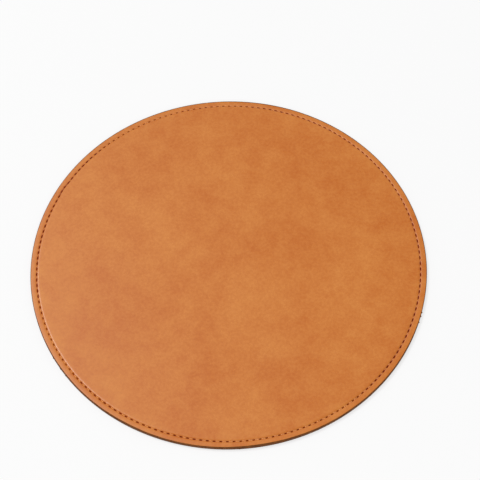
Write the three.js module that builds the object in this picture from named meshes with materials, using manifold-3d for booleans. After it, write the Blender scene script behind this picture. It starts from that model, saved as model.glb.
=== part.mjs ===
import * as THREE from 'three';
import { mergeGeometries, mergeVertices } from 'three/addons/utils/BufferGeometryUtils.js';
import Module from 'manifold-3d';

// A round two-ply mouse pad: a leather face and a suede base, stitched together near the edge
// round a stiff insert, with a painted edge. Millimetres, +Z up, origin in the middle of the underside.

// Plan sizes
const padDiameter = 220;
const seamInset = 3.5; // edge of the pad to the stitch line
const shoulderRun = 2; // width over which the face slopes down from the insert to the seam
const shoulderLand = 0.3; // flat strip between that slope and the seam channel
const insertGap = 0.3; // room round the insert, inside its pocket

// Layers
const baseThickness = 1;
const faceThickness = 1.2;
const boardThickness = 0.4;
const filmThickness = 0.1;

// Painted edge
const coatThickness = 0.3;
const coatGap = 0.03; // between the paint and the cut edges of the two sheets
const coatSetback = 0.15; // the paint stops this far short of the top and of the underside
const coatBevel = 0.12;

// Seam: a lockstitch, whose two threads hook round each other inside every needle hole
const stitchPitch = 3.5;
const threadWidth = 0.28; // the threads are square
const threadGap = 0.05; // between a thread and whatever lies next to it
const threadRecess = 0.1; // depth of the stitches below the surface that they are drawn into
const channelMargin = 0.15; // channel floor on each side of the needle holes
const stitchesPerFacet = 3;
const holeOverrun = 1; // a needle hole's cutter stands out this far on both sides

const fullTurn = 2 * Math.PI;
const padRadius = padDiameter / 2;
const seamRadius = padRadius - seamInset;
const facetCount = Math.round((fullTurn * seamRadius) / (stitchPitch * stitchesPerFacet));
const stitchCount = facetCount * stitchesPerFacet;

// Heights
const splitHeight = baseThickness; // the two sheets meet here outside the insert
const marginTop = splitHeight + faceThickness;
const boardBottom = splitHeight + filmThickness;
const boardTop = boardBottom + boardThickness;
const pocketTop = boardTop + filmThickness;
const faceTop = pocketTop + faceThickness;

// The threads cross in a square X, each clear of the other's legs. In the X they lie on edge
const threadHalf = threadWidth / 2;
const threadCorner = threadHalf * Math.SQRT2;
const lockReach = (2 * threadCorner + threadGap) / Math.SQRT2;
const lockOffset = threadCorner + threadGap / 2;
const holeHalf = lockReach + threadCorner + threadGap;
const channelHalf = holeHalf + channelMargin;
const channelDepth = threadRecess + threadWidth + threadGap;
const stitchSink = threadRecess + threadHalf;

// Radii. The outer channel wall is measured at the middle of a facet
const channelInner = seamRadius - channelHalf;
const channelOuter = (seamRadius + channelHalf) / Math.cos(Math.PI / facetCount);
const coatInner = padRadius - coatThickness;
const sheetRadius = coatInner - coatGap;
const shoulderFoot = channelInner - shoulderLand;
const shoulderTop = shoulderFoot - shoulderRun;
const shoulderAngle = Math.atan2(faceTop - marginTop, shoulderRun);
const pocketShift = faceThickness * Math.tan(shoulderAngle / 2);
const pocketFoot = shoulderFoot - pocketShift;
const pocketRadius = shoulderTop - pocketShift;
const insertRadius = pocketRadius - insertGap;

const wasm = await Module();
wasm.setup();

// Keeps positions only, merges shared corners and drops the slivers that a turned shape has on its axis
function closedSurface(geometry) {
  geometry.deleteAttribute('normal');
  geometry.deleteAttribute('uv');
  const merged = mergeVertices(geometry);
  const corners = merged.index.array;
  const kept = [];
  for (let i = 0; i < corners.length; i += 3) {
    const [a, b, c] = corners.slice(i, i + 3);
    if (a !== b && b !== c && c !== a) kept.push(a, b, c);
  }
  merged.setIndex(kept);
  return merged;
}

// Turns a profile of [radius, height] points about the vertical axis
function turned(profile) {
  const points = profile.map(([radius, height]) => new THREE.Vector2(radius, height));
  const geometry = new THREE.LatheGeometry(points, facetCount);
  geometry.rotateX(Math.PI / 2);
  return closedSurface(geometry);
}

function disc(radius, bottom, top) {
  return turned([[0, bottom], [radius, bottom], [radius, top], [0, top]]);
}

function toSolid(geometry) {
  const vertProperties = new Float32Array(geometry.attributes.position.array);
  const triVerts = new Uint32Array(geometry.index.array);
  return new wasm.Manifold(new wasm.Mesh({ numProp: 3, vertProperties, triVerts }));
}

function toGeometry(solid) {
  const mesh = solid.getMesh();
  const geometry = new THREE.BufferGeometry();
  geometry.setAttribute('position', new THREE.BufferAttribute(mesh.vertProperties, 3));
  geometry.setIndex(new THREE.BufferAttribute(mesh.triVerts, 1));
  return geometry;
}

// A place on the seam: along it from the start, across it outwards, and up
function seamPlace(along, across, height) {
  const angle = along / seamRadius;
  const radius = seamRadius + across;
  return new THREE.Vector3(radius * Math.sin(angle), -radius * Math.cos(angle), height);
}

// The middle of each needle hole, as a length along the seam
const seamLength = fullTurn * seamRadius;
const holePlaces = Array.from({ length: stitchCount }, (_, i) => ((i + 0.5) / stitchCount) * seamLength);

function needleHoles() {
  const height = marginTop + 2 * holeOverrun;
  const prisms = holePlaces.map((along) => {
    const prism = new THREE.BoxGeometry(2 * holeHalf, 2 * holeHalf, height);
    const middle = seamPlace(along, 0, marginTop / 2);
    prism.rotateZ(along / seamRadius);
    prism.translate(middle.x, middle.y, middle.z);
    return closedSurface(prism);
  });
  return toSolid(mergeGeometries(prisms));
}

// The face drops from its flat middle to the margin, where the stitches lie in a channel
function faceSheet() {
  const channelFloor = marginTop - channelDepth;
  return turned([
    [0, pocketTop],
    [pocketRadius, pocketTop],
    [pocketFoot, splitHeight],
    [sheetRadius, splitHeight],
    [sheetRadius, marginTop],
    [channelOuter, marginTop],
    [channelOuter, channelFloor],
    [channelInner, channelFloor],
    [channelInner, marginTop],
    [shoulderFoot, marginTop],
    [shoulderTop, faceTop],
    [0, faceTop],
  ]);
}

function baseSheet() {
  return turned([
    [0, 0],
    [channelInner, 0],
    [channelInner, channelDepth],
    [channelOuter, channelDepth],
    [channelOuter, 0],
    [sheetRadius, 0],
    [sheetRadius, splitHeight],
    [0, splitHeight],
  ]);
}

function edgeBand() {
  const bottom = coatSetback;
  const top = marginTop - coatSetback;
  return turned([
    [coatInner, bottom],
    [padRadius - coatBevel, bottom],
    [padRadius, bottom + coatBevel],
    [padRadius, top - coatBevel],
    [padRadius - coatBevel, top],
    [coatInner, top],
    [coatInner, bottom],
  ]);
}

// Down one side of every hole, across to the other side under the second thread, and up to the next stitch
function threadPath(stitchHeight, lockHeight, slant) {
  return holePlaces.flatMap((along) => [
    seamPlace(along - lockReach, -slant * lockReach, stitchHeight),
    seamPlace(along - lockReach, -slant * lockReach, lockHeight),
    seamPlace(along + lockReach, slant * lockReach, lockHeight),
    seamPlace(along + lockReach, slant * lockReach, stitchHeight),
  ]);
}

// The four corners of a level run of thread, about its middle line: flat side up, or on edge
function threadCorners(heading, onEdge) {
  const up = new THREE.Vector3(0, 0, 1);
  const side = new THREE.Vector3().crossVectors(up, heading);
  return [0, 1, 2, 3].map((j) => {
    const turn = ((onEdge ? j : j + 0.5) * fullTurn) / 4;
    const corner = side.clone().multiplyScalar(threadCorner * Math.cos(turn));
    return corner.addScaledVector(up, threadCorner * Math.sin(turn));
  });
}

// An endless square thread. Every second run is level and ends on the plane that halves the bend there.
// The way through a hole gives the thread a quarter turn, so the last leg leads to the corner before
function threadSolid(path) {
  const count = path.length;
  const corners = [];
  const index = [];
  path.forEach((point, k) => {
    const arriving = point.clone().sub(path[(k + count - 1) % count]).normalize();
    const leaving = path[(k + 1) % count].clone().sub(point).normalize();
    const heading = arriving.clone().add(leaving).normalize();
    const level = k % 2 === 0 ? arriving : leaving;
    const atLock = k % 4 === 1 || k % 4 === 2;
    threadCorners(level, atLock).forEach((offset) => {
      const corner = offset.clone().addScaledVector(level, -offset.dot(heading) / level.dot(heading));
      corners.push(point.x + corner.x, point.y + corner.y, point.z + corner.z);
    });
    const here = k * 4;
    const ahead = ((k + 1) % count) * 4;
    const quarter = k % 4 === 2 ? 3 : 0;
    for (let j = 0; j < 4; j += 1) {
      const next = (j + 1) % 4;
      const a = ahead + ((j + quarter) % 4);
      const b = ahead + ((next + quarter) % 4);
      index.push(here + j, here + next, b, here + j, b, a);
    }
  });
  const geometry = new THREE.BufferGeometry();
  geometry.setAttribute('position', new THREE.Float32BufferAttribute(corners, 3));
  geometry.setIndex(index);
  return geometry;
}

const holes = needleHoles();
const faceCut = toGeometry(toSolid(faceSheet()).subtract(holes));
const baseCut = toGeometry(toSolid(baseSheet()).subtract(holes));
const needlePath = threadPath(marginTop - stitchSink, splitHeight - lockOffset, 1);
const bobbinPath = threadPath(stitchSink, splitHeight + lockOffset, -1);

const pad = new THREE.Group();

function addPiece(name, geometry, color, roughness) {
  geometry.computeVertexNormals();
  const mesh = new THREE.Mesh(geometry, new THREE.MeshStandardMaterial({ color, roughness, metalness: 0 }));
  mesh.name = name;
  pad.add(mesh);
}

addPiece('base_suede', baseCut, 0x7d5636, 0.95);
addPiece('base_adhesive', disc(insertRadius, splitHeight, boardBottom), 0xe4d9bd, 0.4);
addPiece('core_board', disc(insertRadius, boardBottom, boardTop), 0x9a9489, 0.9);
addPiece('face_adhesive', disc(insertRadius, boardTop, pocketTop), 0xe4d9bd, 0.4);
addPiece('face_leather', faceCut, 0xcf8248, 0.6);
addPiece('edge_coat', edgeBand(), 0x694123, 0.45);
addPiece('needle_thread', threadSolid(needlePath), 0xc9742e, 0.7);
addPiece('bobbin_thread', threadSolid(bobbinPath), 0xb96a2c, 0.7);

export default pad;
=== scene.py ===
import math

import bpy
from mathutils import Matrix, Vector, noise


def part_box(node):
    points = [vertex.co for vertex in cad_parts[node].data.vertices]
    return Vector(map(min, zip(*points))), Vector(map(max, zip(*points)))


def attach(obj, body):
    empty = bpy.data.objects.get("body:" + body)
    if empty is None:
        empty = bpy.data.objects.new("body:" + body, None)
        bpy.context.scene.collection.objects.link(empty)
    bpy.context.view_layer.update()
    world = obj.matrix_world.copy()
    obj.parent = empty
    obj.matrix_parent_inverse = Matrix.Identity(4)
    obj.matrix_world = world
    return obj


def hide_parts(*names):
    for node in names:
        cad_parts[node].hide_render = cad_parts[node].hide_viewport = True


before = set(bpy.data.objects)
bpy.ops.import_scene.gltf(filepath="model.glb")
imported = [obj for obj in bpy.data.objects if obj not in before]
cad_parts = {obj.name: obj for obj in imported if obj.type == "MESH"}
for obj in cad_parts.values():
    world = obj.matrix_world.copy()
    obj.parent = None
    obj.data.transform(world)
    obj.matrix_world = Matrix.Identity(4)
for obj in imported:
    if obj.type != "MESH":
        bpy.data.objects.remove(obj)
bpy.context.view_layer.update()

mm = 0.001
weldGap = mm / 1000  # corners closer than this are one
rimGap = mm / 200    # the same, on the loops where a disc closes a sheet

# Sizes of the pad, read from the frame
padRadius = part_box("edge_coat")[1].x
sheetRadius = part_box("face_leather")[1].x
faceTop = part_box("face_leather")[1].z
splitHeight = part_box("base_suede")[1].z  # the two sheets meet here, outside the insert
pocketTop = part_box("face_adhesive")[1].z
marginTop = splitHeight + faceTop - pocketTop
sewnTop = marginTop + 0.32 * mm          # the sewn margin isn't pressed quite flat
cutRadius = sheetRadius + 0.17 * mm      # below the paint, a thin skin, both sheets reach further out

# The stitch line. Angles are in degrees round the pad, from +X towards +Y
seam = dict(
    inset=3.5 * mm,        # from the edge of the pad
    stitches=192,
    # where the end is sewn over the start, the line bulges outwards and has a few more stitches beside it
    joinAngle=151.8,
    joinHalf=3.6,
    joinOut=0.4 * mm,
    joinStitches=4,
    joinAside=0.16 * mm,
    # joinShade: how far the thread over the join is darkened towards the holes' painted shade
    joinShade=0.8,
    joinCore=0.8,          # share of joinHalf that is shaded fully
    # painted shade round each needle hole: half its size along the seam and across it, and where it fades,
    # in shares
    shadeHalf=(0.74 * mm, 0.3 * mm),
    shadeFade=(0.75, 1.2),
    # where the painted shade round the holes grows, as the light crosses the seam there: angle, half-width
    # in degrees, and growth of the shade both ways
    shadeGrowths=[(163, 38, 0.95, 0.6), (347, 40, 0.85, 0.35), (52, 38, 0.5, 0.3), (244, 30, 0.3, 0.25)],
    shadeGrowthCore=0.6,          # share of the half-width where the shade is grown fully
    # the feed wasn't steady: stitches lie this far round from their even places, and more at tightAngle
    feedShift=-0.45 * mm,
    tightShift=-2.75 * mm,
    tightAngle=326,
    tightHalf=62,
    feedFade=(10 * mm, 3.5 * mm),   # the sheets take that up between these, inside the line
    wander=0.05 * mm,      # how far the line strays elsewhere
    wanderLength=24 * mm,
    wanderSlice=0.3,       # another value lets it stray another way
    flatReach=1.2 * mm,    # the sheets follow the line this far on both sides, and fade out by fadeReach
    fadeReach=3.0 * mm,
)
seamRadius = padRadius - seam["inset"]
stitchTurn = 2 * math.pi / seam["stitches"]
stitchLength = seamRadius * stitchTurn


# Selecting and drawing

def deselectAll():
    if bpy.context.object and bpy.context.object.mode != "OBJECT":
        bpy.ops.object.mode_set(mode="OBJECT")
    bpy.ops.object.select_all(action="DESELECT")


def chooseOnly(piece):
    deselectAll()
    piece.select_set(True)
    bpy.context.view_layer.objects.active = piece


def joinTo(piece, others):
    chooseOnly(piece)
    for other in others:
        other.select_set(True)
    bpy.ops.object.join()


def namePiece(name):
    piece = bpy.context.object
    piece.name = name
    piece.data.name = name
    bpy.ops.object.transform_apply(location=True, rotation=True, scale=True)
    return piece


def pickCorners(piece, test):
    bpy.ops.object.mode_set(mode="EDIT")
    bpy.ops.mesh.select_mode(type="VERT")
    bpy.ops.mesh.select_all(action="DESELECT")
    bpy.ops.object.mode_set(mode="OBJECT")
    for corner in piece.data.vertices:
        corner.select = test(corner.co)
    bpy.ops.object.mode_set(mode="EDIT")


def mergeCorners(gap):
    bpy.ops.mesh.select_all(action="SELECT")
    bpy.ops.mesh.remove_doubles(threshold=gap)


def drawSection(name, points, closed=False):
    # a plane shrunk to one corner and drawn out along the section; points are (radius, height)
    deselectAll()
    bpy.ops.mesh.primitive_plane_add(size=mm)
    piece = namePiece(name)
    bpy.ops.object.mode_set(mode="EDIT")
    bpy.ops.mesh.select_mode(type="VERT")
    bpy.ops.mesh.select_all(action="SELECT")
    bpy.ops.mesh.merge(type="CENTER")
    bpy.ops.transform.translate(value=(points[0][0], 0, points[0][1]))
    for (fromRadius, fromHeight), (radius, height) in zip(points, points[1:]):
        step = (radius - fromRadius, 0, height - fromHeight)
        bpy.ops.mesh.extrude_region_move(TRANSFORM_OT_translate={"value": step})
    if closed:
        ends = [Vector((radius, 0, height)) for radius, height in (points[0], points[-1])]
        pickCorners(piece, lambda place: any((place - end).length < weldGap for end in ends))
        bpy.ops.mesh.edge_face_add()
    bpy.ops.mesh.select_all(action="SELECT")
    return piece


def turnOneStitch(columns):
    # columns are shares of a stitch, from the middle of one to the middle of the next
    for start, end in zip(columns, columns[1:]):
        bpy.ops.mesh.spin(steps=1, angle=stitchTurn * (end - start), center=(0, 0, 0), axis=(0, 0, -1))


def copyRound(gap=weldGap):
    copies = seam["stitches"] - 1
    turn = copies * stitchTurn
    bpy.ops.mesh.select_all(action="SELECT")
    bpy.ops.mesh.spin(steps=copies, dupli=True, angle=turn, center=(0, 0, 0), axis=(0, 0, -1))
    mergeCorners(gap)


def closeMiddle(piece, rimRadius, height):
    # the rim's inner loop is thinned to one corner a stitch, and a gridded disc is welded to it
    def betweenStitches(place):
        onLoop = abs(place.xy.length - rimRadius) < rimGap and abs(place.z - height) < rimGap
        share = angleOf(place) / stitchTurn
        return onLoop and abs(share - round(share)) > 0.05

    pickCorners(piece, betweenStitches)
    bpy.ops.mesh.dissolve_verts()
    deselectAll()
    bpy.ops.mesh.primitive_circle_add(vertices=seam["stitches"], radius=rimRadius, location=(0, 0, height))
    disc = namePiece("middle")
    bpy.ops.object.mode_set(mode="EDIT")
    bpy.ops.mesh.select_mode(type="EDGE")
    bpy.ops.mesh.select_all(action="SELECT")
    bpy.ops.mesh.fill_grid(span=seam["stitches"] // 4)
    joinTo(piece, [disc])
    bpy.ops.object.mode_set(mode="EDIT")
    mergeCorners(rimGap)


def finishMesh(piece, sharpAngle=50):
    bpy.ops.object.mode_set(mode="EDIT")
    bpy.ops.mesh.select_all(action="SELECT")
    bpy.ops.mesh.normals_make_consistent(inside=False)
    chooseOnly(piece)
    bpy.ops.object.shade_smooth_by_angle(angle=math.radians(sharpAngle))


# Places on the pad and along the seam

def smoothStep(low, high, value):
    share = min(1, max(0, (value - low) / (high - low)))
    return share * share * (3 - 2 * share)


def angleOf(place):
    return math.atan2(place.y, place.x)


def degreesOff(angle, middle):
    # from an angle in radians to a middle in degrees, the short way round
    return abs((math.degrees(angle) - middle + 180) % 360 - 180)


def atSeam(points, height):
    return [(seamRadius + out * mm, height + up * mm) for out, up in points]


def seamDrift(angle):
    # how far the sewn line lies outside its true circle
    off = degreesOff(angle, seam["joinAngle"])
    bulge = seam["joinOut"] * (1 - smoothStep(0, seam["joinHalf"], off))
    around = Vector((math.cos(angle), math.sin(angle), seam["wanderSlice"]))
    return bulge + seam["wander"] * noise.noise(around * (seamRadius / seam["wanderLength"]))


def feedDrift(angle):
    # how far round a stitch lies from its even place
    off = degreesOff(angle, seam["tightAngle"])
    return seam["feedShift"] + seam["tightShift"] * (1 - smoothStep(0, seam["tightHalf"], off))


def followSeam(piece):
    # moves the stitches to their places along the line, and what lies near the line out or in with it
    fadeStart, fadeEnd = (seamRadius - inside for inside in seam["feedFade"])
    for corner in piece.data.vertices:
        radius = corner.co.xy.length
        rim = smoothStep(fadeStart, fadeEnd, radius)
        if rim > 0:
            angle = angleOf(corner.co)
            near = 1 - smoothStep(seam["flatReach"], seam["fadeReach"], abs(radius - seamRadius))
            grown = radius + near * seamDrift(angle)
            turned = angle + rim * feedDrift(angle) / seamRadius
            corner.co = (grown * math.cos(turned), grown * math.sin(turned), corner.co.z)


def holeShadeSize(angle):
    # half the length and width of the painted shade round a needle hole
    halfLong, halfWide = seam["shadeHalf"]
    longer, wider = 1, 1
    for middle, half, along, across in seam["shadeGrowths"]:
        near = 1 - smoothStep(seam["shadeGrowthCore"] * half, half, degreesOff(angle, middle))
        longer += near * along
        wider += near * across
    return longer * halfLong, wider * halfWide


def shadeHoles(piece):
    # holeShade is 1 in and round the needle holes, where shade is painted into the colour, and 0 on the
    # open surface
    shade = piece.data.attributes.new("holeShade", "FLOAT", "POINT")
    for corner, value in zip(piece.data.vertices, shade.data):
        angle = angleOf(corner.co)
        turns = angle / stitchTurn
        along = stitchLength * (turns - math.floor(turns) - 0.5)
        across = corner.co.xy.length - seamRadius
        halfLong, halfWide = holeShadeSize(angle)
        off = math.hypot(along / halfLong, across / halfWide)
        value.value = 1 - smoothStep(*seam["shadeFade"], off)


# Leather face: one stitch of its rim is turned, dented at the needle hole and copied round the pad

leather = dict(
    rimRadius=96 * mm,     # the rim's inner loop
    # section across the rim: out from the seam, and up from the sewn margin, in mm
    shoulder=[(-5.2, 0.28), (-3.0, 0.28), (-2.1, 0.28), (-1.5, 0.278), (-1.15, 0.268), (-0.92, 0.24),
              (-0.7, 0.204)],
    groove=[(-0.52, 0.172), (-0.41, 0.125), (-0.32, 0.05), (-0.22, -0.045), (-0.12, -0.12),
            (-0.04, -0.155), (0.04, -0.155), (0.12, -0.14), (0.21, -0.115), (0.35, -0.08),
            (0.5, -0.045), (0.66, -0.015), (0.9, 0)],
    margin=[(1.4, 0.015), (2.1, 0.015), (2.7, -0.005)],
    edgeDrop=0.05 * mm,
    cornerRadius=0.12 * mm,
    cornerSteps=3,
    underside=[(1.5, 0), (-1.2, 0)],
    pocketInset=3.2 * mm,  # from the seam in to the full height of the pocket
    columns=[0, 0.14, 0.25, 0.32, 0.38, 0.44, 0.5, 0.56, 0.62, 0.68, 0.75, 0.86, 1],
    holeHalf=(0.54 * mm, 0.12 * mm),   # flat of a needle hole, along the seam and across it
    holeDepth=0.52 * mm,
    holeSoft=0.32 * mm,    # the hole's wall, outside its flat
    dentDepth=0.08 * mm,   # the leather is also drawn down round each hole
    dentSoft=0.9 * mm,
    waveHeight=0.05 * mm,  # the face isn't quite flat
    waveLength=34 * mm,
    waveFade=(12 * mm, 2 * mm),        # it flattens out between these, inside the seam
    # the lip is rubbed smooth: where that fades in and out, in mm out from the seam
    rubbed=[-1.2, -0.88, -0.5, -0.3],
)


def roundedCorner(radius, top, bend, steps):
    # from the top of a sheet, round to its cut edge
    turns = [math.radians(90) * (1 - k / steps) for k in range(steps + 1)]
    return [(radius - bend + bend * math.cos(t), top - bend + bend * math.sin(t)) for t in turns]


def inHole(place, halfLong, halfWide):
    # whether a place is in the flat of the needle hole, in the one stitch that was drawn
    along = seamRadius * (angleOf(place) - stitchTurn / 2)
    return abs(along) < halfLong and abs(place.xy.length - seamRadius) < halfWide


def pressIn(depth, soft):
    # moves what is picked, and draws its surroundings along
    bpy.ops.transform.translate(
        value=(0, 0, -depth), use_proportional_edit=True, use_proportional_connected=True,
        proportional_edit_falloff="SMOOTH", proportional_size=soft)


def rubLip(piece, spec):
    # lipShine is 1 where the leather beside the stitches is rubbed smooth
    fadeIn, fullIn, fullOut, fadeOut = spec["rubbed"]
    shine = piece.data.attributes.new("lipShine", "FLOAT", "POINT")
    for corner, value in zip(piece.data.vertices, shine.data):
        out = (corner.co.xy.length - seamRadius) / mm
        value.value = smoothStep(fadeIn, fullIn, out) * (1 - smoothStep(fullOut, fadeOut, out))


def waveFace(piece, spec):
    fadeStart, fadeEnd = (seamRadius - inside for inside in spec["waveFade"])
    for corner in piece.data.vertices:
        share = 1 - smoothStep(fadeStart, fadeEnd, corner.co.xy.length)
        if share > 0 and corner.co.z > (faceTop + pocketTop) / 2:
            corner.co.z += share * spec["waveHeight"] * noise.noise(corner.co / spec["waveLength"])


def makeLeather(spec):
    edge = roundedCorner(cutRadius, sewnTop - spec["edgeDrop"], spec["cornerRadius"], spec["cornerSteps"])
    section = [(spec["rimRadius"], faceTop)]
    section += atSeam(spec["shoulder"] + spec["groove"] + spec["margin"], sewnTop)
    section += edge + [(cutRadius, splitHeight)]
    section += atSeam(spec["underside"], splitHeight)
    section += [(seamRadius - spec["pocketInset"], pocketTop), (spec["rimRadius"], pocketTop)]
    piece = drawSection("leatherFace", section)
    turnOneStitch(spec["columns"])
    pickCorners(piece, lambda place: inHole(place, *spec["holeHalf"]))
    pressIn(spec["dentDepth"], spec["dentSoft"])
    pressIn(spec["holeDepth"], spec["holeSoft"])
    copyRound()
    closeMiddle(piece, spec["rimRadius"], faceTop)
    closeMiddle(piece, spec["rimRadius"], pocketTop)
    finishMesh(piece)
    shadeHoles(piece)
    rubLip(piece, spec)
    followSeam(piece)
    waveFace(piece, spec)
    return piece


leatherFace = makeLeather(leather)
print("leather face:", len(leatherFace.data.polygons), "faces")


# Suede base, made the same way from below

suede = dict(
    rimRadius=96 * mm,
    flat=[(-6, 0), (-1.8, 0)],
    groove=[(-1.1, 0.02), (-0.8, 0.07), (-0.55, 0.2), (-0.34, 0.38), (-0.18, 0.47), (0, 0.5),
            (0.18, 0.47), (0.34, 0.38), (0.55, 0.2), (0.8, 0.07), (1.1, 0.02)],
    margin=[(1.9, 0), (2.6, 0)],
    cornerRadius=0.15 * mm,
    cornerSteps=3,
    columns=[0, 0.18, 0.29, 0.37, 0.44, 0.5, 0.56, 0.63, 0.71, 0.82, 1],
    holeHalf=(0.45 * mm, 0.2 * mm),
    holeDepth=0.36 * mm,
    holeSoft=0.32 * mm,
)


def makeSuede(spec):
    edge = roundedCorner(cutRadius, 0, spec["cornerRadius"], spec["cornerSteps"])
    section = [(spec["rimRadius"], 0)]
    section += atSeam(spec["flat"] + spec["groove"] + spec["margin"], 0)
    section += [(radius, -height) for radius, height in edge]
    section += [(cutRadius, splitHeight), (spec["rimRadius"], splitHeight)]
    piece = drawSection("suedeBase", section)
    turnOneStitch(spec["columns"])
    pickCorners(piece, lambda place: inHole(place, *spec["holeHalf"]))
    pressIn(-spec["holeDepth"], spec["holeSoft"])
    copyRound()
    closeMiddle(piece, spec["rimRadius"], 0)
    closeMiddle(piece, spec["rimRadius"], splitHeight)
    finishMesh(piece)
    shadeHoles(piece)
    followSeam(piece)
    return piece


suedeBase = makeSuede(suede)
print("suede base:", len(suedeBase.data.polygons), "faces")


# Threads: twisted strands, one stitch drawn ring by ring and copied round

needle = dict(
    radius=0.25 * mm,
    strands=3,
    strandPinch=0.8,       # the valleys between the strands
    crest=sewnTop - 0.05 * mm,   # middle of the thread on top of a stitch
    valley=splitHeight + 0.2 * mm,
    dive=0.66 * mm,        # it is halfway down this far from the middle of a hole
    bend=0.13 * mm,        # how softly it turns down there
    slant=0.08 * mm,
    twist=360,             # degrees in a stitch, a whole number of strands
    steps=[0, 0.065, 0.13, 0.196, 0.248, 0.31, 0.38, 0.5, 0.62, 0.69, 0.752, 0.804, 0.87, 0.935, 1],
    weld=0.02 * mm,        # ends closer than this are one thread
    sharpAngle=80,
)
bobbin = dict(needle, crest=0.28 * mm, valley=splitHeight - 0.15 * mm, slant=-0.08 * mm)


def threadPlace(spec, share):
    # where the thread's middle is, at a share of the way from one stitch's middle to the next
    along = (share - 0.5) * stitchLength
    sink = 1 / (1 + math.exp((abs(along) - spec["dive"]) / spec["bend"]))
    height = spec["crest"] + sink * (spec["valley"] - spec["crest"])
    radius = seamRadius + spec["slant"] * math.sin(2 * math.pi * share)
    return Vector((radius * math.cos(share * stitchTurn), radius * math.sin(share * stitchTurn), height))


def threadClimb(spec, share, nearby=0.004):
    before, after = threadPlace(spec, share - nearby), threadPlace(spec, share + nearby)
    return math.atan2(after.z - before.z, (after.xy - before.xy).length)


def makeThread(name, spec):
    steps = spec["steps"]
    places = [threadPlace(spec, share) for share in steps]
    climbs = [threadClimb(spec, share) for share in steps]

    def inValley(place):
        around = math.atan2(place.x - places[0].x, place.z - places[0].z)
        return abs(math.sin(spec["strands"] / 2 * around)) > 0.5

    deselectAll()
    bpy.ops.mesh.primitive_circle_add(
        vertices=2 * spec["strands"], radius=spec["radius"], location=places[0],
        rotation=(math.pi / 2, 0, 0))
    piece = namePiece(name)
    pickCorners(piece, inValley)
    bpy.ops.transform.resize(value=(spec["strandPinch"],) * 3, center_override=places[0])
    bpy.ops.mesh.select_all(action="SELECT")
    # each ring is laid level again, twisted and tilted to the new climb
    # with no window, turns run the other way
    for k in range(1, len(places)):
        bpy.ops.mesh.extrude_region_move(TRANSFORM_OT_translate={"value": places[k] - places[k - 1]})
        turn = math.radians(spec["twist"]) * (steps[k] - steps[k - 1])
        for angle, axis in ((climbs[k - 1], "X"), (turn, "Y"), (-climbs[k], "X")):
            bpy.ops.transform.rotate(value=angle, orient_axis=axis, center_override=places[k])
    return piece


def copyStitch(stitch, angle, out):
    # one more stitch of the same thread, sewn beside the seam
    copy = bpy.data.objects.new("overSewn", stitch.data.copy())
    bpy.context.collection.objects.link(copy)
    wide = (seamRadius + out) / seamRadius
    copy.data.transform(Matrix.Rotation(angle, 4, "Z") @ Matrix.Diagonal((wide, wide, 1, 1)))
    return copy


def sewOver(stitch):
    # the last stitches, which lie beside the first
    start = math.radians(seam["joinAngle"]) - seam["joinStitches"] / 2 * stitchTurn
    start = (math.floor(start / stitchTurn) + 0.5) * stitchTurn
    turns = [start + k * stitchTurn for k in range(seam["joinStitches"])]
    return [copyStitch(stitch, turn, seam["joinAside"]) for turn in turns]


def darkenJoin(piece):
    # the thread is darkened over the join, with the same colour as the holes' painted shade
    half = seam["joinHalf"]
    for corner, shade in zip(piece.data.vertices, piece.data.attributes["holeShade"].data):
        off = degreesOff(angleOf(corner.co), seam["joinAngle"])
        near = 1 - smoothStep(seam["joinCore"] * half, half, off)
        shade.value = max(shade.value, seam["joinShade"] * near)


def sewRound(piece, spec, overSewn):
    chooseOnly(piece)
    extra = sewOver(piece) if overSewn else []
    bpy.ops.object.mode_set(mode="EDIT")
    copyRound(spec["weld"])
    if extra:
        joinTo(piece, extra)
        bpy.ops.object.mode_set(mode="EDIT")
        mergeCorners(spec["weld"])
        bpy.ops.mesh.select_all(action="DESELECT")
        bpy.ops.mesh.select_non_manifold()
        bpy.ops.mesh.fill()
    finishMesh(piece, spec["sharpAngle"])
    # painted shade where the thread goes down into the needle holes
    shadeHoles(piece)
    if overSewn:
        darkenJoin(piece)
    followSeam(piece)


needleThread = makeThread("needleThread", needle)
sewRound(needleThread, needle, overSewn=True)
bobbinThread = makeThread("bobbinThread", bobbin)
sewRound(bobbinThread, bobbin, overSewn=False)
print("threads:", len(needleThread.data.polygons), "and", len(bobbinThread.data.polygons), "faces")


# Edge paint: a thin skin over both cut edges, with a feathered top line and a few dried drops

paint = dict(
    steps=576,
    # outer face from the top line down, in mm: in from the pad's edge, and up from the sewn margin (top)
    # or from the underside (side)
    top=[(0.25, -0.035), (0.17, -0.025), (0.08, -0.06), (0.02, -0.15), (0, -0.3)],
    side=[(0, 1.4), (0.015, 1.12), (0.05, 1.0), (0.015, 0.88), (0, 0.6), (0, 0.25), (0.03, 0.1),
          (0.1, 0.03)],
    # inner face: clear of the cut edges by gap, from foot up to tuck below the margin, then in by lap
    gap=0.01 * mm,
    foot=0.06 * mm,
    tuck=0.16 * mm,
    lap=0.05 * mm,
    # the top line was laid by hand, so it creeps in and out over the leather, most at heavyAngle
    heavyAngle=272,
    heavyReach=0.2 * mm,
    heavySharp=4,
    lightReach=0.06 * mm,
    # smears: angle, half-width in degrees, and mm further in
    smears=[(75, 95, 0.2), (240, 12, 0.14), (279, 16, 0.24)],
    unevenTop=0.07 * mm,
    unevenLength=5 * mm,
    creepBand=(0.02 * mm, 0.2 * mm),   # it sets in between these, in from the pad's edge
    creepDepth=0.1 * mm,   # and ends this far below the margin
    climb=0.1,             # the leather rises this much inwards, and the paint with it
    # drops: angle, and height in mm
    drops=[(-17.8, 1.5), (-19, 1.2), (-21.1, 1.6), (-66, 1.1), (-88, 0.9), (-142.9, 1.6), (-145.6, 1.3),
           (-149.5, 1.5)],
    dropSize=(0.4 * mm, 0.55 * mm, 0.42 * mm),
)


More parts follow.
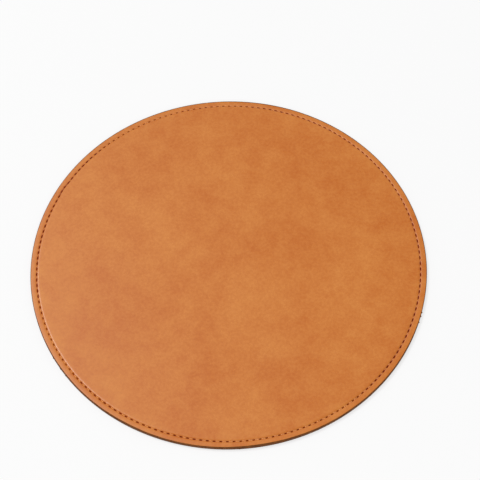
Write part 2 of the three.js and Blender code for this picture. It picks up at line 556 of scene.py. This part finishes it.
def creepAt(place, spec):
    angle = angleOf(place)
    heavy = (0.5 + 0.5 * math.cos(angle - math.radians(spec["heavyAngle"]))) ** spec["heavySharp"]
    creep = spec["lightReach"] + heavy * (spec["heavyReach"] - spec["lightReach"])
    creep += spec["unevenTop"] * noise.noise(place / spec["unevenLength"])
    for middle, half, reach in spec["smears"]:
        creep += reach * mm * (1 - smoothStep(0, half, degreesOff(angle, middle)))
    return creep


def layTopLine(piece, spec):
    for corner in piece.data.vertices:
        onTop = smoothStep(*spec["creepBand"], padRadius - corner.co.xy.length)
        if corner.co.z > sewnTop - spec["creepDepth"] and onTop > 0:
            creep = onTop * creepAt(corner.co, spec)
            shrunk = 1 - creep / corner.co.xy.length
            height = corner.co.z + creep * spec["climb"]
            corner.co = (corner.co.x * shrunk, corner.co.y * shrunk, height)


def addDrops(piece, spec):
    deselectAll()
    bpy.ops.mesh.primitive_uv_sphere_add(segments=10, ring_count=6, radius=1, scale=spec["dropSize"])
    drop = namePiece("paintDrop")
    bpy.ops.object.shade_smooth()
    copies = []
    for angle, height in spec["drops"]:
        copy = bpy.data.objects.new("paintDropCopy", drop.data.copy())
        bpy.context.collection.objects.link(copy)
        outwards = Matrix.Translation((padRadius, 0, height * mm))
        copy.data.transform(Matrix.Rotation(math.radians(angle), 4, "Z") @ outwards)
        copies.append(copy)
    bpy.data.objects.remove(drop)
    joinTo(piece, copies)


def makePaint(spec):
    outer = [(padRadius - inward * mm, sewnTop + up * mm) for inward, up in spec["top"]]
    outer += [(padRadius - inward * mm, up * mm) for inward, up in spec["side"]]
    innerRadius = cutRadius + spec["gap"]
    inner = [(innerRadius, spec["foot"]), (innerRadius, sewnTop - spec["tuck"])]
    inner += [(cutRadius - spec["lap"], sewnTop - leather["edgeDrop"] + spec["gap"])]
    piece = drawSection("edgePaint", outer + inner, closed=True)
    bpy.ops.mesh.spin(steps=spec["steps"], angle=2 * math.pi, center=(0, 0, 0), axis=(0, 0, -1))
    mergeCorners(weldGap)
    finishMesh(piece)
    layTopLine(piece, spec)
    addDrops(piece, spec)
    return piece


edgePaint = makePaint(paint)
print("edge paint:", len(edgePaint.data.polygons), "faces")


# Nodes

def addNode(tree, kind, inputs=None, **settings):
    # inputs are numbers, colours or sockets of other nodes
    node = tree.nodes.new(kind)
    for setting, value in settings.items():
        setattr(node, setting, value)
    for name, value in (inputs or {}).items():
        socket = node.inputs[name]
        if isinstance(value, bpy.types.NodeSocket):
            tree.links.new(value, socket)
        elif socket.type == "RGBA":
            socket.default_value = (*value, 1)
        else:
            socket.default_value = value
    return node


def calculate(tree, operation, first, second):
    return addNode(tree, "ShaderNodeMath", {0: first, 1: second}, operation=operation).outputs[0]


def spread(tree, value, low, high):
    # a 0 to 1 tone, spread between two values
    return addNode(tree, "ShaderNodeMapRange", {"Value": value, "To Min": low, "To Max": high}).outputs[0]


def softRange(tree, value, low, high):
    # 0 up to low and 1 from high on, with soft ends
    inputs = {"Value": value, "From Min": low, "From Max": high}
    return addNode(tree, "ShaderNodeMapRange", inputs, interpolation_type="SMOOTHSTEP").outputs[0]


def mixTones(tree, share, first, second):
    return addNode(tree, "ShaderNodeMix", {0: share, 2: first, 3: second}).outputs[0]


def mixColours(tree, share, first, second, blend="MIX"):
    inputs = {0: share, 6: first, 7: second}
    return addNode(tree, "ShaderNodeMix", inputs, data_type="RGBA", blend_type=blend).outputs[2]


def readAttribute(tree, name):
    return addNode(tree, "ShaderNodeAttribute", attribute_name=name).outputs["Fac"]


# Shared effects

def newGroup(name, inputs, outputs):
    # an input with no value takes a vector, all others are numbers
    group = bpy.data.node_groups.new(name, "ShaderNodeTree")
    for socket, value in inputs.items():
        kind = "NodeSocketVector" if value is None else "NodeSocketFloat"
        made = group.interface.new_socket(socket, in_out="INPUT", socket_type=kind)
        if value is not None:
            made.default_value = value
    for socket in outputs:
        group.interface.new_socket(socket, in_out="OUTPUT", socket_type="NodeSocketFloat")
    given = group.nodes.new("NodeGroupInput").outputs
    result = group.nodes.new("NodeGroupOutput").inputs
    return group, given, result


def makeCloudTone():
    # soft patches, 0 to 1, about as wide as Size
    inputs = {"Vector": None, "Size": 20 * mm, "Detail": 3.0}
    group, given, result = newGroup("cloudTone", inputs, ["Tone"])
    cloud = addNode(group, "ShaderNodeTexNoise", {
        "Vector": given["Vector"],
        "Scale": calculate(group, "DIVIDE", 1.0, given["Size"]),
        "Detail": given["Detail"],
        "Roughness": 0.55,
        "Distortion": 0.3,
    })
    group.links.new(softRange(group, cloud.outputs[0], 0.3, 0.7), result["Tone"])
    return group


def makeHideGrain():
    # small raised cells with creases between them, and a finer tooth on top
    inputs = {"Vector": None, "Cell": 0.7 * mm, "Tooth": 0.3}
    group, given, result = newGroup("hideGrain", inputs, ["Height", "Crease"])
    place = given["Vector"]
    scale = calculate(group, "DIVIDE", 1.0, given["Cell"])
    fineScale = calculate(group, "MULTIPLY", scale, 3.2)
    cells = addNode(group, "ShaderNodeTexVoronoi", {"Vector": place, "Scale": scale, "Randomness": 1.0},
                    feature="DISTANCE_TO_EDGE")
    tooth = addNode(group, "ShaderNodeTexNoise", {"Vector": place, "Scale": fineScale, "Detail": 2.0})
    raised = softRange(group, cells.outputs["Distance"], 0.0, 0.28)
    roughTop = calculate(group, "MULTIPLY", tooth.outputs[0], given["Tooth"])
    group.links.new(calculate(group, "ADD", raised, roughTop), result["Height"])
    group.links.new(calculate(group, "SUBTRACT", 1.0, raised), result["Crease"])
    return group


cloudTone = makeCloudTone()
hideGrain = makeHideGrain()


def useGroup(tree, group, place, values):
    return addNode(tree, "ShaderNodeGroup", {"Vector": place, **values}, node_tree=group).outputs


def paintHoleShade(tree, colour, dark):
    # down in and round the needle holes a colour turns into painted shade
    return mixColours(tree, readAttribute(tree, "holeShade"), colour, dark)


def newMaterial(name, constants):
    material = bpy.data.materials.new(name)
    material.use_nodes = True
    tree = material.node_tree
    shader = tree.nodes["Principled BSDF"].inputs
    for socket, value in constants.items():
        shader[socket].default_value = value
    place = tree.nodes.new("ShaderNodeTexCoord").outputs["Object"]
    return material, tree, shader, place


def addBump(tree, shader, height, spec):
    inputs = {"Height": height, "Strength": spec["bump"], "Distance": spec["bumpHeight"]}
    tree.links.new(addNode(tree, "ShaderNodeBump", inputs).outputs["Normal"], shader["Normal"])


# Finishes

leatherFinish = dict(
    shader={"IOR": 1.45},
    darkTan=(0.513, 0.123, 0.0),
    lightTan=(0.637, 0.221, 0.031),
    # painted shade in the needle holes
    holeShadeColour=(0.290, 0.030, 0.0),
    patch=44 * mm,
    mottle=9 * mm,
    mottleShare=0.5,
    speckle=1.6 * mm,
    speckleShare=0.32,
    cell=0.75 * mm,
    tooth=0.35,
    creaseShade=0.12,
    roughness=(0.38, 0.46),
    lipRoughness=0.29,
    bump=0.22,
    bumpHeight=0.05 * mm,
)


def makeLeatherFinish(spec):
    material, tree, shader, place = newMaterial("tanLeather", spec["shader"])
    patch = useGroup(tree, cloudTone, place, {"Size": spec["patch"], "Detail": 2.0})
    mottle = useGroup(tree, cloudTone, place, {"Size": spec["mottle"], "Detail": 4.0})
    speckle = useGroup(tree, cloudTone, place, {"Size": spec["speckle"], "Detail": 3.0})
    grain = useGroup(tree, hideGrain, place, {"Cell": spec["cell"], "Tooth": spec["tooth"]})
    tone = mixTones(tree, spec["mottleShare"], patch["Tone"], mottle["Tone"])
    tone = mixTones(tree, spec["speckleShare"], tone, speckle["Tone"])
    colour = mixColours(tree, tone, spec["darkTan"], spec["lightTan"])
    # painted shade in the creases of the grain
    crease = spread(tree, grain["Crease"], 0, spec["creaseShade"])
    colour = mixColours(tree, crease, colour, spec["darkTan"], "MULTIPLY")
    # painted shade in and round the needle holes
    tree.links.new(paintHoleShade(tree, colour, spec["holeShadeColour"]), shader["Base Color"])
    # rubbed smooth on the lip, dull in the holes
    roughness = spread(tree, tone, *spec["roughness"])
    roughness = mixTones(tree, readAttribute(tree, "lipShine"), roughness, spec["lipRoughness"])
    roughness = calculate(tree, "MAXIMUM", readAttribute(tree, "holeShade"), roughness)
    tree.links.new(roughness, shader["Roughness"])
    addBump(tree, shader, grain["Height"], spec)
    return material


suedeFinish = dict(
    shader={"Roughness": 0.95, "IOR": 1.4, "Sheen Weight": 0.25, "Sheen Roughness": 0.5},
    dark=(0.150, 0.064, 0.024),
    light=(0.245, 0.113, 0.046),
    # painted shade in the needle holes
    holeShadeColour=(0.020, 0.008, 0.003),
    brushed=14 * mm,
    nap=0.5 * mm,
    napShare=0.6,
    bump=0.5,
    bumpHeight=0.12 * mm,
)


def makeSuedeFinish(spec):
    material, tree, shader, place = newMaterial("brownSuede", spec["shader"])
    brushed = useGroup(tree, cloudTone, place, {"Size": spec["brushed"], "Detail": 3.0})
    nap = useGroup(tree, cloudTone, place, {"Size": spec["nap"], "Detail": 5.0})
    tone = mixTones(tree, spec["napShare"], brushed["Tone"], nap["Tone"])
    colour = mixColours(tree, tone, spec["dark"], spec["light"])
    tree.links.new(paintHoleShade(tree, colour, spec["holeShadeColour"]), shader["Base Color"])
    addBump(tree, shader, nap["Tone"], spec)
    return material


threadFinish = dict(
    shader={"Roughness": 0.5, "IOR": 1.5, "Specular IOR Level": 0.4},
    shade=(0.61, 0.205, 0.050),
    light=(0.82, 0.345, 0.110),
    # painted shade where the thread goes down into the holes
    holeShadeColour=(0.290, 0.030, 0.0),
    bobbinShade=0.85,      # the lower thread is this much of the upper one's colour
    fibre=0.12 * mm,
    bump=0.4,
    bumpHeight=0.03 * mm,
)


def makeThreadFinish(name, spec, level):
    material, tree, shader, place = newMaterial(name, spec["shader"])
    fibre = useGroup(tree, cloudTone, place, {"Size": spec["fibre"], "Detail": 3.0})
    shade, light = ([level * part for part in colour] for colour in (spec["shade"], spec["light"]))
    colour = mixColours(tree, fibre["Tone"], shade, light)
    tree.links.new(paintHoleShade(tree, colour, spec["holeShadeColour"]), shader["Base Color"])
    addBump(tree, shader, fibre["Tone"], spec)
    return material


paintFinish = dict(
    shader={"IOR": 1.5, "Specular IOR Level": 0.1},
    dark=(0.119, 0.035, 0.006),
    light=(0.187, 0.061, 0.011),
    patch=3 * mm,
    skin=0.5 * mm,
    roughness=(0.55, 0.7),
    bump=0.35,
    bumpHeight=0.05 * mm,
)


def makePaintFinish(spec):
    material, tree, shader, place = newMaterial("brownEdgePaint", spec["shader"])
    patch = useGroup(tree, cloudTone, place, {"Size": spec["patch"], "Detail": 3.0})
    skin = useGroup(tree, cloudTone, place, {"Size": spec["skin"], "Detail": 2.0})
    colour = mixColours(tree, patch["Tone"], spec["dark"], spec["light"])
    tree.links.new(colour, shader["Base Color"])
    tree.links.new(spread(tree, skin["Tone"], *spec["roughness"]), shader["Roughness"])
    addBump(tree, shader, skin["Tone"], spec)
    return material


boardFinish = dict(
    shader={"Roughness": 0.9},
    dark=(0.24, 0.215, 0.175),
    light=(0.40, 0.37, 0.32),
    patch=20 * mm,
    fibre=0.8 * mm,
    tooth=0.8,
    flecks=0.35,
    bump=0.3,
    bumpHeight=0.05 * mm,
)


def makeBoardFinish(spec):
    material, tree, shader, place = newMaterial("greyBoard", spec["shader"])
    patch = useGroup(tree, cloudTone, place, {"Size": spec["patch"], "Detail": 2.0})
    fibre = useGroup(tree, hideGrain, place, {"Cell": spec["fibre"], "Tooth": spec["tooth"]})
    colour = mixColours(tree, patch["Tone"], spec["dark"], spec["light"])
    flecks = spread(tree, fibre["Crease"], 0, spec["flecks"])
    tree.links.new(mixColours(tree, flecks, colour, spec["dark"]), shader["Base Color"])
    addBump(tree, shader, fibre["Height"], spec)
    return material


filmFinish = dict(
    shader={"IOR": 1.47},
    thin=(0.70, 0.60, 0.41),
    thick=(0.82, 0.75, 0.58),
    patch=9 * mm,
    roughness=(0.3, 0.5),
)


def makeFilmFinish(spec):
    material, tree, shader, place = newMaterial("creamAdhesive", spec["shader"])
    patch = useGroup(tree, cloudTone, place, {"Size": spec["patch"], "Detail": 4.0})
    colour = mixColours(tree, patch["Tone"], spec["thin"], spec["thick"])
    tree.links.new(colour, shader["Base Color"])
    tree.links.new(spread(tree, patch["Tone"], *spec["roughness"]), shader["Roughness"])
    return material


def finishPiece(piece, material):
    piece.data.materials.clear()
    piece.data.materials.append(material)


finishPiece(leatherFace, makeLeatherFinish(leatherFinish))
finishPiece(suedeBase, makeSuedeFinish(suedeFinish))
finishPiece(needleThread, makeThreadFinish("tanNeedleThread", threadFinish, 1))
finishPiece(bobbinThread, makeThreadFinish("tanBobbinThread", threadFinish, threadFinish["bobbinShade"]))
finishPiece(edgePaint, makePaintFinish(paintFinish))
board = makeBoardFinish(boardFinish)
film = makeFilmFinish(filmFinish)
for node, material in (("core_board", board), ("face_adhesive", film), ("base_adhesive", film)):
    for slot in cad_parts[node].material_slots:
        slot.material = material
print("finishes set")


# What each piece stands for

for piece, node, slot in (
    (leatherFace, "face_leather", "face_leather"),
    (suedeBase, "base_suede", "base_suede"),
    (needleThread, "needle_thread", "needle_thread"),
    (bobbinThread, "bobbin_thread", "bobbin_thread"),
    (edgePaint, "edge_coat", "edge_paint"),
):
    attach(piece, "root")
    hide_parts(node)


# Camera, floor and light

view = dict(
    aim=Vector((6.711, 15.703, 0)) * mm,
    distance=800 * mm,
    elevation=59.72,
    roll=-1.357,
    lens=106.57,
    sensor=36,
    nearest=10 * mm,
)
studio = dict(
    floorRadius=1.6,
    floorCorners=96,
    openRadius=padRadius - 1 * mm,   # the floor is open under the pad, so that its underside can be seen
    floorDrop=0.02 * mm,
    floorWhite=0.97,
    floorGlow=(0.72, 1),   # share that shows plain white to the camera, near the pad and far from it
    fade=(0.35, 1.2),      # from here to here the floor turns as white as the backdrop
    backdropWhite=0.96,
    worldLevel=0.46,
    # lights: place, size and power
    lights=dict(
        key=((-1.23, 0.86, 2.6), 1.26, 49),
        fill=((0.1, -0.75, 0.75), 0.5, 1.6),
        below=((0.5, -0.6, -1.4), 1.2, 14),
    ),
)


def addCamera(spec):
    tilt, roll = math.radians(spec["elevation"]), math.radians(spec["roll"])
    back = Vector((0, -math.cos(tilt), math.sin(tilt)))
    up = Vector((0, math.sin(tilt), math.cos(tilt)))
    side = Vector((1, 0, 0))
    across = math.cos(roll) * side + math.sin(roll) * up
    upright = math.cos(roll) * up - math.sin(roll) * side
    turned = Matrix((across, upright, back)).transposed().to_4x4()
    deselectAll()
    bpy.ops.object.camera_add()
    camera = bpy.context.object
    camera.matrix_world = Matrix.Translation(spec["aim"] + spec["distance"] * back) @ turned
    camera.data.lens = spec["lens"]
    camera.data.sensor_width = spec["sensor"]
    camera.data.clip_start = spec["nearest"]
    bpy.context.scene.camera = camera


def lightPathMask(tree):
    # 1 for what the camera sees, directly, in a mirror or through glass
    path = addNode(tree, "ShaderNodeLightPath").outputs
    mask = calculate(tree, "MAXIMUM", path["Is Camera Ray"], path["Is Glossy Ray"])
    return calculate(tree, "MAXIMUM", mask, path["Is Transmission Ray"])


def makeFloorFinish(spec):
    material = bpy.data.materials.new("floorWhite")
    material.use_nodes = True
    tree = material.node_tree
    tree.nodes.remove(tree.nodes["Principled BSDF"])
    cover = addNode(tree, "ShaderNodeBsdfDiffuse", {"Color": (spec["floorWhite"],) * 3})
    glow = addNode(tree, "ShaderNodeEmission", {"Color": (1, 1, 1), "Strength": spec["backdropWhite"]})
    place = tree.nodes.new("ShaderNodeTexCoord").outputs["Object"]
    away = addNode(tree, "ShaderNodeVectorMath", {0: place}, operation="LENGTH").outputs["Value"]
    share = spread(tree, softRange(tree, away, *spec["fade"]), *spec["floorGlow"])
    seen = calculate(tree, "MULTIPLY", share, lightPathMask(tree))
    mixed = addNode(tree, "ShaderNodeMixShader", {0: seen, 1: cover.outputs[0], 2: glow.outputs[0]})
    tree.links.new(mixed.outputs[0], tree.nodes["Material Output"].inputs["Surface"])
    return material


def addFloor(spec):
    deselectAll()
    bpy.ops.mesh.primitive_circle_add(
        vertices=spec["floorCorners"], radius=spec["openRadius"], location=(0, 0, -spec["floorDrop"]))
    floor = namePiece("floor")
    bpy.ops.object.mode_set(mode="EDIT")
    bpy.ops.mesh.select_all(action="SELECT")
    bpy.ops.mesh.extrude_region_move()
    wide = spec["floorRadius"] / spec["openRadius"]
    bpy.ops.transform.resize(value=(wide, wide, 1), center_override=(0, 0, 0))
    finishMesh(floor)
    finishPiece(floor, makeFloorFinish(spec))


def addWorld(spec):
    world = bpy.data.worlds.new("studioWhite")
    world.use_nodes = True
    bpy.context.scene.world = world
    tree = world.node_tree
    backdrop = tree.nodes["Background"].inputs
    backdrop["Color"].default_value = (1, 1, 1, 1)
    level = spread(tree, lightPathMask(tree), spec["worldLevel"], spec["backdropWhite"])
    tree.links.new(level, backdrop["Strength"])


def addLights(spec):
    for name, (place, size, power) in spec["lights"].items():
        deselectAll()
        bpy.ops.object.light_add(type="AREA", location=place)
        lamp = bpy.context.object
        lamp.name = f"{name}Light"
        lamp.rotation_euler = Vector(place).to_track_quat("Z", "Y").to_euler()
        lamp.data.shape = "DISK"
        lamp.data.size = size
        lamp.data.energy = power


addCamera(view)
addFloor(studio)
addWorld(studio)
addLights(studio)
bpy.context.scene.view_settings.view_transform = "Standard"
print("camera, floor and light set")
